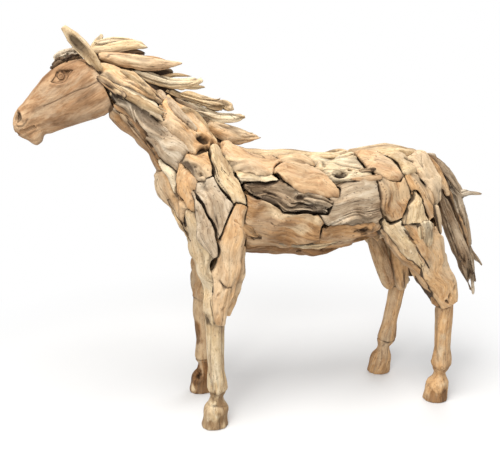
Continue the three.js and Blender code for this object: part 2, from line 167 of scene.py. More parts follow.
# %% [markdown]
# ## Floor and light
# The photograph has a white ground, a white background and soft shade under the belly. One lamp hangs
# overhead, a large soft one stands in front on the left, and a weak one behind on the right. The world
# is white where it is seen behind the horse, but weaker where it lights the wood, so that hollows stay
# dark. The floor fades to pure white away from the horse.

# %% Floor
FLOOR_SIZE = 60.0
SHADE_REACH = (1.0, 2.3)
NEAR_GLOW = 0.1
bpy.ops.mesh.primitive_plane_add(size=FLOOR_SIZE, location=(0, 0, -0.001))
floor = bpy.context.object
floor.name = "studio_floor"
floor_paint = bpy.data.materials.new("pale_floor")
floor_paint.use_nodes = True
paint = Recipe(floor_paint.node_tree)
floor_shader = paint.tree.nodes["Principled BSDF"]
paint.fill(floor_shader, Base_Color=(0.67, 0.67, 0.67), Roughness=0.9, Specular_IOR_Level=0.1)
floor_place = paint.node("ShaderNodeTexCoord").outputs["Object"]
distance = paint.out("ShaderNodeVectorMath", floor_place, settings={"operation": "LENGTH"})
far_away = paint.step(distance, *SHADE_REACH, NEAR_GLOW)
white_glow = paint.out("ShaderNodeEmission", Color=(1, 1, 1))
near_or_far = paint.out("ShaderNodeMixShader", far_away, floor_shader.outputs["BSDF"], white_glow)
paint.fill(paint.tree.nodes["Material Output"], Surface=near_or_far)
floor.data.materials.append(floor_paint)

# %% Light
def soft_lamp(name, place, target, size, watts, colour):
    bpy.ops.object.light_add(type="AREA", location=place)
    lamp = bpy.context.object
    lamp.name = name
    lamp.data.shape = "DISK"
    lamp.data.size = size
    lamp.data.energy = watts
    lamp.data.color = colour
    aim = Vector(place) - Vector(target)
    lamp.rotation_euler = aim.to_track_quat("Z", "Y").to_euler()
    return lamp


soft_lamp("key_lamp", (-1.0, -1.2, 5.2), (0, 0, 0.8), 2.4, 235, (1.0, 0.985, 0.96))
soft_lamp("front_lamp", (-2.0, -4.2, 3.9), (-0.3, 0, 1.2), 3.0, 195, (1.0, 0.985, 0.96))
soft_lamp("rim_lamp", (2.6, 2.6, 4.2), (0, 0, 0.9), 3.0, 90, (0.97, 0.98, 1.0))
LIGHT_ON_WOOD = 0.48
world = bpy.context.scene.world or bpy.data.worlds.new("studio")
bpy.context.scene.world = world
world.use_nodes = True
sky = Recipe(world.node_tree)
light_sky = sky.tree.nodes["Background"]
sky.fill(light_sky, Color=(1, 1, 1), Strength=LIGHT_ON_WOOD)
backdrop = sky.out("ShaderNodeBackground", Color=(1, 1, 1), Strength=1.0)
is_seen = sky.node("ShaderNodeLightPath").outputs["Is Camera Ray"]
seen_or_lit = sky.out("ShaderNodeMixShader", is_seen, light_sky.outputs["Background"], backdrop)
sky.fill(sky.tree.nodes["World Output"], Surface=seen_or_lit)
bpy.context.scene.view_settings.view_transform = "Standard"

# %% [markdown]
# ## Noise that follows the grain
# The sea eats the soft wood between the grain lines, so every groove on driftwood runs along the
# piece. A noise texture in a modifier can't be stretched along a bent stick, so the relief is worked
# out here: each vertex gets its distance along the piece and across it, and a lattice of fixed random
# numbers is read at those distances, long ways along the grain and short ways across it.

# %% Lattice noise
LATTICE_SIZE = 64
lattice = np.random.default_rng(11).random((LATTICE_SIZE,) * 3)


def noise_at(places):
    """Smooth values from 0 to 1 at an array of places, one row each."""
    cell = np.floor(places).astype(int)
    part = places - cell
    part = part * part * (3 - 2 * part)
    total = np.zeros(len(places))
    for corner in itertools.product((0, 1), repeat=3):
        share = np.prod(np.where(corner, part, 1 - part), axis=1)
        x, y, z = ((cell + corner) % LATTICE_SIZE).T
        total += share * lattice[x, y, z]
    return total


def ramp(values, low, high):
    """0 below low, 1 above high, and a soft step between them. low may be the larger."""
    t = np.clip((values - low) / (high - low), 0, 1)
    return t * t * (3 - 2 * t)


# %% [markdown]
# ## One way to wear any piece
# A piece starts as a rough mesh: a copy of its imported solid, or a bent stick. A voxel remesh gives it
# even faces, and a Smooth modifier rounds its sawn edges as the sea does. Then its vertices move:
# rims beside a neighbour sink, the surface gets shallow hollows, and grooves and cracks run along the
# grain. Three values stay on the mesh for the materials: the place along the grain, how deep a point
# lies in a groove or joint, and a tone.

# %% Reading and writing a mesh
def vertices_of(mesh, what="co"):
    values = np.empty(len(mesh.vertices) * 3)
    if what == "co":
        mesh.vertices.foreach_get("co", values)
    else:
        mesh.vertex_normals.foreach_get("vector", values)
    return values.reshape(-1, 3)


def set_vertices(mesh, places):
    mesh.vertices.foreach_set("co", places.ravel())
    mesh.update()


def store(mesh, name, values):
    kind = "FLOAT_VECTOR" if values.ndim == 2 else "FLOAT"
    attribute = mesh.attributes.new(name, kind, "POINT")
    attribute.data.foreach_set("vector" if values.ndim == 2 else "value", values.ravel().astype(np.float32))


def apply_modifier(piece, kind, **settings):
    choose(piece)
    modifier = piece.modifiers.new(kind.lower(), kind)
    for key, value in settings.items():
        setattr(modifier, key, value)
    bpy.ops.object.modifier_apply(modifier=modifier.name)


# %% Neighbours and spines
NODE_BOXES = {name: np.array(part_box(name)) for name in NODES}
NEIGHBOUR_REACH = 0.03


def tree_over(names):
    """A search tree over the faces of some solids."""
    corners = []
    faces = []
    for name in names:
        mesh = NODES[name].data
        start = len(corners)
        corners += [vertex.co.copy() for vertex in mesh.vertices]
        faces += [[start + index for index in face.vertices] for face in mesh.polygons]
    return BVHTree.FromPolygons(corners, faces) if faces else None


def neighbours_of(low, high, without):
    """The solids near a box, without the piece's own."""
    near = []
    for name, (other_low, other_high) in NODE_BOXES.items():
        touching = np.all(other_low < high + NEIGHBOUR_REACH) and np.all(other_high > low - NEIGHBOUR_REACH)
        if touching and name not in without:
            near.append(name)
    return near


def gap_to(tree, places):
    """How far each place is from the nearest neighbour, up to the reach."""
    gaps = np.full(len(places), NEIGHBOUR_REACH)
    if tree is None:
        return gaps
    for index, place in enumerate(places.tolist()):
        found = tree.find_nearest(place, NEIGHBOUR_REACH)
        if found[3] is not None:
            gaps[index] = found[3]
    return gaps


def long_axis(places):
    """The two ends of a piece's own long axis."""
    middle = places.mean(axis=0)
    spread = np.linalg.svd((places - middle)[:: max(1, len(places) // 2000)], full_matrices=False)[2][0]
    reach = (places - middle) @ spread
    return np.array([middle + spread * reach.min(), middle + spread * reach.max()])


def along_spine(places, spine, out):
    """Distances along a bent spine, across it, and outwards from it."""
    whole = spine[-1] - spine[0]
    across = np.cross(out, whole)
    across /= np.linalg.norm(across)
    upright = np.cross(whole, across)
    upright /= np.linalg.norm(upright)
    best = np.full(len(places), np.inf)
    along = np.zeros(len(places))
    offset = np.zeros_like(places)
    done = 0.0
    for start, end in zip(spine[:-1], spine[1:]):
        step = end - start
        length = np.linalg.norm(step)
        t = (places - start) @ step / length**2
        t_low = t if np.array_equal(start, spine[0]) else np.maximum(t, 0)
        t = t_low if np.array_equal(end, spine[-1]) else np.minimum(t_low, 1)
        away = places - (start + t[:, None] * step)
        distance = np.linalg.norm(away, axis=1)
        closer = distance < best
        best[closer] = distance[closer]
        along[closer] = done + t[closer] * length
        offset[closer] = away[closer]
        done += length
    return np.stack([along, offset @ across, offset @ upright], axis=1)


# %% Wandering edges
# A board's edge wanders, and its neighbour's edge wanders with it, because both read the same noise.
WANDER_SIZE = 0.075
WANDER_REACH = 0.036


def wander(places):
    aside = np.zeros_like(places)
    aside[:, 0] = noise_at(places / WANDER_SIZE + np.array([7.0, 3.0, 9.0])) - 0.5
    aside[:, 2] = noise_at(places / WANDER_SIZE + np.array([31.0, 17.0, 5.0])) - 0.5
    near_carving = ramp(places[:, 2], 0.50, 0.60) * ramp(places[:, 0], -0.76, -0.66)
    return aside * WANDER_REACH * near_carving[:, None]


# %% Carving along lines
def layout_of(places):
    """Places in millimetres, as the boards were laid out. It is the opposite of at."""
    return (places - np.array(ORIGIN_SHIFT)) / MM


def distance_to_line(points, line):
    best = np.full(len(points), np.inf)
    for start, end in zip(np.array(line[:-1], float), np.array(line[1:], float)):
        step = end - start
        t = np.clip((points - start) @ step / (step @ step), 0, 1)
        best = np.minimum(best, np.linalg.norm(points - start - t[:, None] * step, axis=1))
    return best


def cut_along(flat, lines):
    """Each line: points (x, z) in millimetres, half width, depth, and how dark it is, which is painted shade
    in the cut.
    """
    depth = np.zeros(len(flat))
    dark = np.zeros(len(flat))
    for line, width, cut, darkness in lines:
        near = np.exp(-(distance_to_line(flat, line) / width) ** 2)
        depth += cut * near
        dark = np.maximum(dark, darkness * near)
    return depth, dark


def line_carver(*lines):
    def carve(places, normals):
        depth, dark = cut_along(layout_of(places)[:, [0, 2]], lines)
        return places - normals * (depth * MM)[:, None], dark
    return carve


# %% Wearing a piece
piece_count = 0
total_triangles = 0
# Lengths in metres
RIM_REACH = 0.024
RIM_DROP = 0.013
RIM_JITTER = 0.012
SEAM = 0.0022
SEAM_LEAST = 0.0042
SEAM_SPREAD = 0.0062
SWELL_HEIGHT = 0.020
RIPPLE_HEIGHT = 0.010
FURROW_DEPTH = 0.007
FIBRE_DEPTH = 0.003
SPLIT_DEPTH = 0.008
SOLE_REACH = 0.05
COMMON_HALF_WIDTH = 0.030
# The even mesh has far more faces than its flat stretches need, so half of them are merged at the end.
KEPT_SHARE = 0.5
chance = np.random.default_rng(23)


def triangles_of(piece):
    return sum(len(face.vertices) - 2 for face in piece.data.polygons)


def wear(piece, spine=None, out=(0, -1, 0), cell=0.0042, rounds=6, relief=1.0, erosion=0.3,
         crack=0.5, knots=(), stains=(), tone=0.0, raised=(0.0, 0.0), splinter=0.0, without=(), carve=None,
         stretch=0.0, bend=0.0, shade_and_grime=0.0):
    """Rounds, hollows and grooves a rough mesh. The lengths are in metres. raised lifts the outer face
    at its two ends, stretch lengthens the piece, and bend lets its edges wander."""
    global piece_count, total_triangles
    piece_count += 1
    apply_modifier(piece, "REMESH", mode="VOXEL", voxel_size=cell)
    apply_modifier(piece, "SMOOTH", factor=0.5, iterations=rounds)
    mesh = piece.data
    places = vertices_of(mesh)
    normals = vertices_of(mesh, "normal")
    tree = tree_over(neighbours_of(places.min(axis=0), places.max(axis=0), without))
    gaps = gap_to(tree, places)
    rim = ramp(gaps, RIM_REACH, 0.002)
    free = (normals * (1 - rim)[:, None]).sum(axis=0) / len(places)
    has_face = np.linalg.norm(free) > 0.12
    outward = free / np.linalg.norm(free) if has_face else np.array(out, float)
    spine = long_axis(places) if spine is None else np.array(spine)
    grain = along_spine(places, spine, outward)
    size = float(np.clip(grain[:, 1].std() / COMMON_HALF_WIDTH, 0.3, 1.3))
    seed = piece_count * np.array([3.1, 7.7, 5.3])
    # Each knot pushes the grain aside and leaves a ragged pit.
    bends = np.zeros(len(places))
    pits = np.zeros(len(places))
    grain_way = (spine[-1] - spine[0]) / np.linalg.norm(spine[-1] - spine[0])
    for knot_place, radius, depth in knots:
        away = places - np.array(knot_place)
        away -= (away @ grain_way)[:, None] * grain_way * 0.4
        near = np.linalg.norm(away, axis=1) / radius
        bends += radius * 0.8 * np.exp(-near**2 / 3) * np.sign(grain[:, 1] + 1e-6)
        ragged = near + 0.9 * (noise_at(places / (radius * 0.6) + seed) - 0.5)
        pits += depth * ramp(ragged, 1.15, 0.25) - 0.2 * depth * np.exp(-((near - 1.35) / 0.3)**2)
    grain[:, 1] += bends + (noise_at(grain / np.array([0.20, 0.12, 0.12]) + seed) - 0.5) * 0.03 * size

    def fibre(long, short):
        return noise_at(grain / np.array([long, short, short]) + seed)

    # Swells, furrows and cracks run along the grain.
    swell = (fibre(0.15, 0.07) - 0.5) * SWELL_HEIGHT * size
    swell += (fibre(0.06, 0.024) - 0.5) * RIPPLE_HEIGHT * size
    worn = ramp(fibre(0.20, 0.06), 0.74 - erosion * 0.6, 0.90 - erosion * 0.4)
    ridges = 1 - np.abs(2 * fibre(0.16, 0.016) - 1)
    grooves = ramp(ridges, 0.5, 0.97) * FURROW_DEPTH + ramp(fibre(0.07, 0.011), 0.5, 0.9) * FIBRE_DEPTH
    line = np.abs(fibre(0.45, 0.034) - 0.5)
    split = ramp(line, 0.034, 0.004) * ramp(fibre(0.20, 0.07), 0.72 - crack * 0.3, 0.84 - crack * 0.3)
    shallow = grooves * (0.16 + worn * (0.35 + 0.9 * erosion))
    depth = relief * size**0.5 * (shallow + split * SPLIT_DEPTH * (0.3 + crack)) + pits
    # The rims sink beside a neighbour, and the ends splinter.
    width = 0.35 + 1.5 * fibre(0.10, 0.05)
    drop = RIM_DROP * rim**1.6 * width * has_face
    jitter = (noise_at(places / 0.028 + seed) - 0.5) * RIM_JITTER * rim
    length = grain[:, 0].max() - grain[:, 0].min()
    t = (grain[:, 0] - grain[:, 0].min()) / length
    lift = (raised[0] + (raised[1] - raised[0]) * t) * ramp(normals @ outward, -0.1, 0.5)
    off_floor = ramp(places[:, 2], 0.0, SOLE_REACH)
    moved = places + normals * ((relief * swell * (1 - 0.5 * rim) - depth + jitter) * off_floor)[:, None]
    moved += outward * (lift - drop)[:, None]
    tips = ramp(t, 0.16, 0.0) - ramp(t, 0.84, 1.0)
    if splinter:
        moved += grain_way * (tips * splinter * (fibre(9.0, 0.009) + 0.6 * fibre(9.0, 0.02) - 0.5))[:, None]
    moved -= grain_way * (tips * stretch)[:, None]
    if bend:
        moved += bend * wander(places)
    carved = np.zeros(len(places))
    if carve is not None:
        moved, carved = carve(moved, normals)
    moved[:, 2] = np.maximum(moved[:, 2], 0.0)
    set_vertices(mesh, moved)
    store(mesh, "grain", grain + seed * 0.37)
    # What the materials read: painted shade and dirt in hollows and joints, and a tone.
    # Grooves, cracks, knot pits and carved lines darken with their depth: painted shade, with some dirt.
    dark = 0.9 * ramp(split, 0.3, 0.9) * (0.4 + 0.6 * crack) + 0.55 * ramp(shallow, 0.001, 0.006)
    dark = np.clip(dark + 0.9 * ramp(pits, 0.002, 0.014) + carved, 0, 1)
    # Points close to a neighbouring solid darken as painted shade in the joint, and sunk rims get some
    # painted shade.
    seam = ramp(gaps, SEAM_LEAST + SEAM_SPREAD * fibre(0.05, 0.03), SEAM)
    shade = 0.30 * rim**2 * fibre(0.08, 0.04)
    # The last value passed in adds painted shade, with some dirt, over the whole piece.
    store(mesh, "hollow", np.clip(np.maximum(dark, seam * 0.95) + shade + shade_and_grime, 0, 1))
    stained = np.zeros(len(places))
    for stain_place, radius, amount in stains:
        away = np.linalg.norm(places - np.array(stain_place), axis=1) / radius
        stained += amount * ramp(away + 1.6 * (fibre(0.06, 0.018) - 0.5), 1.5, 0.1)
    personal = chance.normal(0, 0.08)
    mottle = 0.7 * (fibre(0.30, 0.10) - 0.5) + 0.5 * (fibre(0.10, 0.04) - 0.5)
    store(mesh, "tone", np.clip(0.5 + tone + personal + mottle + stained, 0, 1.5))
    apply_modifier(piece, "DECIMATE", ratio=KEPT_SHARE)
    piece.data.shade_smooth()
    total_triangles += triangles_of(piece)
    return piece


# %% [markdown]
# ## Wood finishes
# All the wood is sun-bleached and bare. What differs is the hue: honey, rosy, straw, silver grey or
# brown. Fine grain lines, fibres too thin for the mesh, dirt and painted shade in the joints and hollows,
# and bleached patches are the same everywhere, so each is a node group that is placed in every material
# with its own values.

# %% Groups of nodes
def linear(red, green, blue):
    """A colour as seen on a screen, from 0 to 255, as Blender's linear values."""
    return tuple(((value / 255 + 0.055) / 1.055) ** 2.4 for value in (red, green, blue))


def new_group(name, inputs, outputs):
    """An empty group as a recipe, with what comes in and the node that everything goes out by."""
    group = bpy.data.node_groups.new(name, "ShaderNodeTree")
    for way, sockets in (("INPUT", inputs), ("OUTPUT", outputs)):
        for label, kind in sockets.items():
            group.interface.new_socket(label, in_out=way, socket_type="NodeSocket" + kind)
    return Recipe(group), group.nodes.new("NodeGroupInput").outputs, group.nodes.new("NodeGroupOutput")


# %% Group: grain lines
grain, given, end = new_group(
    "grain_lines", dict(Vector="Vector", Light="Color", Dark="Color", Strength="Float"),
    dict(Color="Color", Height="Float"))
streaks = grain.noise(given["Vector"], (4, 60, 60), detail=4.0, roughness=0.6, distortion=0.5)
bands = grain.noise(given["Vector"], (3, 16, 16), detail=3.0, roughness=0.6, distortion=1.2)
lines = grain.noise(given["Vector"], (8, 150, 150), detail=2.0, roughness=0.5, distortion=0.3)
fibres = grain.noise(given["Vector"], (22, 320, 320), detail=2.0, roughness=0.5)
darkness = grain.times(grain.step(bands, 0.34, 0.66), 0.32)
for noise, low, high, weight in (
        (streaks, 0.42, 0.64, 0.34), (lines, 0.48, 0.64, 0.34), (fibres, 0.3, 0.7, 0.12)):
    darkness = grain.plus(darkness, grain.times(grain.step(noise, low, high), weight))
dark_share = grain.times(darkness, given["Strength"])
furrows = grain.plus(grain.times(streaks, -0.8), grain.times(lines, -0.9))
grain.fill(end, Color=grain.mix(dark_share, given["Light"], given["Dark"]),
           Height=grain.plus(furrows, grain.times(fibres, 0.5)))


# %% Group: drying cracks
drying, given, end = new_group(
    "drying_cracks", dict(Vector="Vector", Amount="Float"), dict(Mask="Float"))
crack_noise = drying.noise(given["Vector"], (1.3, 42, 42), (3, 1, 7), 1.5, 0.4, 0.1)
thin = drying.step(drying.math("ABSOLUTE", drying.math("SUBTRACT", crack_noise, 0.5)), 0.012, 0.002)
where = drying.noise(given["Vector"], (5, 14, 14), (9, 4, 2), 1.0)
there = drying.step(drying.plus(where, drying.times(given["Amount"], 0.22)), 0.64, 0.74)
drying.fill(end, Mask=drying.times(thin, there))

# %% Group: weather
weather, given, end = new_group(
    "sea_weather_and_shade",
    dict(Vector="Vector", Color="Color", Bleach="Color", Dirt="Color", Hollow="Float", Tone="Float",
         Cracks="Float", Specks="Float"),
    dict(Color="Color", Roughness="Float"))


def patches_of(stretch, offset, detail, low, high, amount):
    """Patches along the grain, from 0 to amount."""
    noise = weather.noise(given["Vector"], stretch, offset, detail, 0.65, 0.3)
    return weather.times(weather.step(noise, low, high), amount)


tone = given["Tone"]
patches = weather.noise(given["Vector"], (9, 26, 26), (5, 5, 5), 4.0, 0.6, 0.5)
bleach_mask = weather.step(weather.plus(weather.times(patches, 0.6), tone), 0.78, 1.18)
brown_mask = weather.step(weather.plus(weather.times(patches, 0.4), tone), 0.66, 0.16)
sun_mask = weather.step(tone, 0.95, 1.4)
specks = weather.times(patches_of((70, 170, 170), (1, 6, 8), 1.0, 0.64, 0.72, 1.0), given["Specks"])
# Painted shade and dirt: the deeper a point lies in a groove, joint or pit, the more of the dark colour it
# takes.
shade_and_grime = weather.math("POWER", given["Hollow"], 1.3)
# How much of each colour, the colour, and how it is laid over what is there
LAYERS = (
    (weather.times(bleach_mask, 0.75), given["Bleach"], "MIX"),
    (patches_of((5, 18, 18), (8, 3, 6), 4.0, 0.44, 0.64, 0.5), linear(180, 160, 134), "MIX"),
    (patches_of((28, 66, 66), (3, 7, 2), 3.0, 0.50, 0.70, 0.40), given["Bleach"], "MIX"),
    (weather.times(brown_mask, 0.85), (0.42, 0.33, 0.25), "MULTIPLY"),
    (weather.times(sun_mask, 0.6), linear(238, 212, 172), "MIX"),
    (patches_of((15, 34, 34), (2, 9, 4), 5.0, 0.48, 0.70, 0.5), (0.56, 0.47, 0.38), "MULTIPLY"),
    (patches_of((34, 80, 80), (6, 2, 1), 3.0, 0.48, 0.68, 0.45), (0.62, 0.54, 0.45), "MULTIPLY"),
    (specks, given["Dirt"], "MIX"),
    # painted shade and dirt in hollows and joints
    (weather.times(shade_and_grime, 0.92), given["Dirt"], "MIX"),
    (weather.times(given["Cracks"], 0.75), given["Dirt"], "MIX"),
)
weathered = given["Color"]
for amount, colour, blend in LAYERS:
    weathered = weather.mix(amount, weathered, colour, blend)
weather.fill(end, Color=weathered, Roughness=weather.plus(weather.times(patches, 0.25), 0.62))

# %% Wood materials
# Light wood, dark grain line, bleached patch, strength of the grain, amount of cracks
WOODS = {
    "carved": (linear(172, 136, 100), linear(120, 84, 54), linear(190, 160, 126), 0.70, 0.0),
    "honey": (linear(212, 172, 124), linear(138, 96, 58), linear(212, 190, 158), 0.75, 0.35),
    "rosy": (linear(206, 174, 134), linear(158, 112, 76), linear(212, 190, 156), 0.75, 0.3),
    "pale": (linear(216, 192, 152), linear(150, 116, 78), linear(218, 204, 176), 0.80, 0.4),
    "grey": (linear(192, 170, 142), linear(114, 92, 68), linear(204, 190, 168), 0.90, 0.6),
    "brown": (linear(190, 148, 102), linear(106, 72, 42), linear(200, 174, 138), 0.95, 0.4),
}
# The colour of dirt, which is also laid on hollows and joints as painted shade.
DIRT_AND_SHADE = linear(44, 28, 16)


def wood_material(wood):
    light, dark, bleach, strength, cracks = WOODS[wood]
    material = bpy.data.materials.new(wood + "_wood")
    material.use_nodes = True
    recipe = Recipe(material.node_tree)

    def read(name, output):
        return recipe.node("ShaderNodeAttribute", settings={"attribute_name": name}).outputs[output]

    def placed(group, **values):
        return recipe.node("ShaderNodeGroup", settings={"node_tree": group.tree}, **values).outputs

    vector = read("grain", "Vector")
    fibrous = placed(grain, Vector=vector, Light=light, Dark=dark, Strength=strength)
    splits = placed(drying, Vector=vector, Amount=cracks)
    worn = placed(
        weather, Vector=vector, Color=fibrous["Color"], Bleach=bleach, Dirt=DIRT_AND_SHADE,
        Hollow=read("hollow", "Fac"), Tone=read("tone", "Fac"), Cracks=splits["Mask"], Specks=cracks * 1.2)
    relief = recipe.math("SUBTRACT", fibrous["Height"], splits["Mask"])
    bumps = recipe.out("ShaderNodeBump", Strength=0.7, Distance=0.0035, Height=relief)
    recipe.fill(recipe.tree.nodes["Principled BSDF"], Base_Color=worn["Color"], Roughness=worn["Roughness"],
                Specular_IOR_Level=0.25, Normal=bumps)
    return material


MATERIALS = {wood: wood_material(wood) for wood in WOODS}
print("wood finishes:", ", ".join(MATERIALS))

# %% [markdown]
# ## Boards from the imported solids
# Each board's solid already has the right outline and curve. Its inner part reaches to the middle of
# the horse, where nobody sees it, so the copy is cut off a hand's breadth under the surface with a
# bisect before it is worn.

# %% Copying a solid
KEEP_DEPTH = 0.045


def merge_corners(piece):
    """Merges corners that lie on each other, and leaves the piece in edit mode with all selected."""
    choose(piece)
    bpy.ops.object.mode_set(mode="EDIT")
    bpy.ops.mesh.select_all(action="SELECT")
    bpy.ops.mesh.remove_doubles(threshold=1e-5)


def copy_of_node(name):
    source = NODES[name]
    piece = source.copy()
    piece.data = source.data.copy()
    for key in list(piece.keys()):
        del piece[key]
    piece.parent = None
    piece.name = name + "_wood"
    piece.data.name = name + "_wood"
    piece.data.materials.clear()
    bpy.context.scene.collection.objects.link(piece)
    merge_corners(piece)
    bpy.ops.object.mode_set(mode="OBJECT")
    return piece


def cut_back(piece, side):
    """Takes off what lies deep under a side board's outer face."""
    outer = []
    for face in piece.data.polygons:
        if face.normal.y * side > 0.3:
            outer += [abs(piece.data.vertices[index].co.y) for index in face.vertices]
    inner = min(outer) - KEEP_DEPTH
    if inner < 0.02:
        return
    bpy.ops.object.mode_set(mode="EDIT")
    bpy.ops.mesh.select_all(action="SELECT")
    bpy.ops.mesh.bisect(
        plane_co=(0, side * inner, 0), plane_no=(0, side, 0), clear_inner=True, use_fill=True)
    bpy.ops.object.mode_set(mode="OBJECT")


def mark(piece, nodes):
    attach(piece, "root")
    if nodes:
        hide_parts(*nodes)


def finish_piece(piece, wood, *nodes):
    piece.data.materials.clear()
    piece.data.materials.append(MATERIALS[wood])
    mark(piece, nodes)


# %% Finding the surface from a place beside the horse
HORSE_TREE = tree_over(sorted(NODES))
BESIDE = 900


def on_left(x, z, above=0.0):
    """The place in millimetres on the horse's left side at x and z, moved outwards by above."""
    hit = HORSE_TREE.ray_cast(at(x, -BESIDE, z), Vector((0, 1, 0)))[0]
    if hit is None:
        raise ValueError(f"no wood at {x}, {z}")
    place = (hit - ORIGIN_SHIFT) / MM
    return (place.x, place.y - above, place.z)


def spot(x, y, z, radius, amount):
    """A stain: over 0 it is a bleached patch, and under 0 a dark one."""
    return (tuple(at(x, y, z)), radius * MM, amount)


def stain(x, z, radius, amount):
    return spot(*on_left(x, z), radius, amount)


def hole(x, y, z, radius, depth):
    """A knot or a hole, whose depth is a length."""
    return spot(x, y, z, radius, depth * MM)


def knot(x, z, radius, depth):
    return hole(*on_left(x, z), radius, depth)


# %% Left and right boards
# Gaps and notches, darkened inside with painted shade: points (x, z), half width, depth, darkness
GAPS = line_carver(
    ([(-505, 734), (-492, 714), (-472, 700), (-450, 697)], 3.5, 6.0, 0.9),
    ([(-300, 1100), (-262, 1092), (-229, 1074)], 4.5, 7.0, 0.8),
    ([(80, 818), (147, 824), (208, 837)], 4.0, 5.0, 0.85),
    ([(115, 902), (175, 920)], 4.0, 9.0, 0.95),
    ([(149, 884), (176, 888)], 3.5, 8.0, 0.95),
    ([(360, 1221), (407, 1199)], 4.0, 9.0, 0.95),
    ([(425, 1126), (453, 1093)], 4.0, 9.0, 0.95),
)
# name: (wood, crack, erosion, other options for wear)
SIDE_BOARDS = {
    "forearm_outer": ("honey", 0.6, 0.2, dict(
        tone=0.1, raised=(0.006, 0.002), knots=(
            knot(-515, 663, 7, 8), knot(-492, 594, 8, 8), knot(-512, 582, 5, 5)))),
    "scapula_strip": ("pale", 0.7, 0.4, dict(raised=(0.004, 0.008))),
    "shoulder_blade": ("grey", 0.2, 0.1, dict(tone=0.25, raised=(0.0, 0.010), knots=(
        knot(-545, 1130, 20, 9),))),
    "upper_arm": ("grey", 0.3, 0.15, dict(tone=0.25, raised=(0.0, 0.006), knots=(
        knot(-571, 1014, 5, 6),))),
    "shoulder_top": ("honey", 0.4, 0.3, dict(tone=0.1, raised=(0.004, 0.004), knots=(
        knot(-592, 1206, 8, 7), knot(-560, 1172, 10, 8)))),
    "shoulder_front": ("honey", 0.4, 0.3, dict(raised=(0.002, 0.004))),
    "chest_twist": ("pale", 0.3, 0.2, dict(tone=0.2)),
    "forearm_rear": ("honey", 0.5, 0.3, {}),
    "forearm_front": ("pale", 0.5, 0.4, {}),
    "chest_front": ("brown", 0.3, 0.2, {}),
    "neck_side": ("grey", 0.8, 0.6, dict(relief=0.8, stretch=0.014, knots=(
        knot(-737, 1323, 24, 4), knot(-797, 1408, 16, 4)), stains=(stain(-690, 1235, 60, 0.3),))),
    "neck_rear": ("honey", 0.3, 0.1, dict(raised=(0.004, 0.004), knots=(
        knot(-552, 1319, 15, 30), knot(-545, 1276, 17, 30), knot(-526, 1291, 9, 22), knot(-606, 1384, 26, 9)),
        stains=(stain(-536, 1290, 55, -0.6), stain(-604, 1384, 30, -0.3)))),
    "neck_strip_low": ("pale", 0.7, 0.6, dict(stretch=0.014)),
    "neck_strip_high": ("honey", 0.7, 0.4, dict(stretch=0.014)),
    "rib_upper": ("rosy", 0.3, 0.1, dict(raised=(0.004, 0.004), knots=(knot(-72, 1140, 16, 6),))),
    "rib_grey": ("grey", 1.0, 1.0, dict(relief=2.1, tone=-0.05, knots=(
        knot(-137, 1070, 15, 16), knot(-260, 1086, 12, 14), knot(-60, 1040, 10, 9)))),
    "back_front": ("rosy", 0.5, 0.1, dict(raised=(0.002, 0.005), knots=(
        knot(-315, 1261, 15, 2),))),
    "back_mid": ("rosy", 0.4, 0.2, {}),
    "flank_strip": ("pale", 0.4, 0.3, dict(tone=0.1)),
    "croup_side": ("rosy", 0.4, 0.2, dict(raised=(0.003, 0.003), knots=(knot(286, 1176, 12, 4),))),
    "croup_upper": ("pale", 0.3, 0.2, {}),
    "hip": ("honey", 0.4, 0.1, dict(tone=0.28, raised=(0.006, 0.006), relief=0.6)),
    "thigh_triangle": ("pale", 0.4, 0.3, dict(tone=0.15, raised=(0.002, 0.006))),
    "thigh_top": ("brown", 0.5, 0.3, dict(relief=0.75, cell=0.0035, rounds=26,
                                    stains=(stain(330, 1075, 60, 0.4),))),
    "thigh_rear": ("honey", 0.6, 0.5, dict(rounds=18, tone=0.2, stains=(stain(500, 1035, 40, -0.3),))),
    "gaskin_outer": ("honey", 0.7, 0.3, dict(tone=0.25, knots=(
        knot(443, 930, 12, 9), knot(461, 850, 10, 8), knot(592, 572, 10, 14), knot(613, 598, 9, 12),
        knot(582, 544, 10, 12), knot(605, 627, 7, 8)))),
    "gaskin_front": ("pale", 0.6, 0.4, {}),
    "gaskin_rear": ("brown", 0.6, 0.5, {}),
    "gaskin_shin": ("honey", 0.6, 0.5, dict(tone=-0.05)),
    "spine_slab": ("pale", 0.4, 0.4, dict(tone=-0.1, knots=(
        knot(-9, 1200, 22, 10), knot(52, 1156, 17, 26), knot(90, 1170, 9, 16)))),
    "barrel_lower": ("brown", 0.3, 0.15, dict(stains=(
        stain(-270, 1032, 36, 0.9), stain(-215, 1005, 38, 0.9), stain(-120, 962, 55, 0.8),
        stain(-330, 1040, 40, -0.2), stain(-60, 1010, 40, 0.5)))),
    "barrel_rear": ("grey", 0.4, 0.4, dict(stains=(
        stain(180, 1045, 50, 0.45), stain(60, 1000, 55, 0.2)))),
    "belly_mid": ("brown", 0.5, 0.4, dict(tone=-0.05, knots=(
        knot(130, 950, 22, 12), knot(154, 907, 13, 16), knot(172, 886, 8, 14)))),
    # The low tone of this board under the belly is painted shade.
    "belly_front": ("brown", 0.5, 0.4, dict(tone=-0.28)),
    "right_forearm": ("brown", 0.6, 0.4, {}),
    "right_shoulder": ("grey", 0.6, 0.5, {}),
    "right_neck": ("brown", 0.7, 0.5, {}),
    "right_thigh": ("honey", 0.6, 0.4, {}),
    "right_gaskin": ("pale", 0.6, 0.5, {}),
    "right_ribs_upper": ("pale", 0.6, 0.5, {}),
    "right_ribs_lower": ("honey", 0.6, 0.5, {}),
}


def narrow_end(piece, low, high, middle, share):
    """Draws a board in towards a middle x, from nothing at high to a share of its width at low."""
    places = vertices_of(piece.data)
    narrower = 1 - (1 - share) * ramp(places[:, 2], high, low)
    places[:, 0] = middle + (places[:, 0] - middle) * narrower
    set_vertices(piece.data, places)


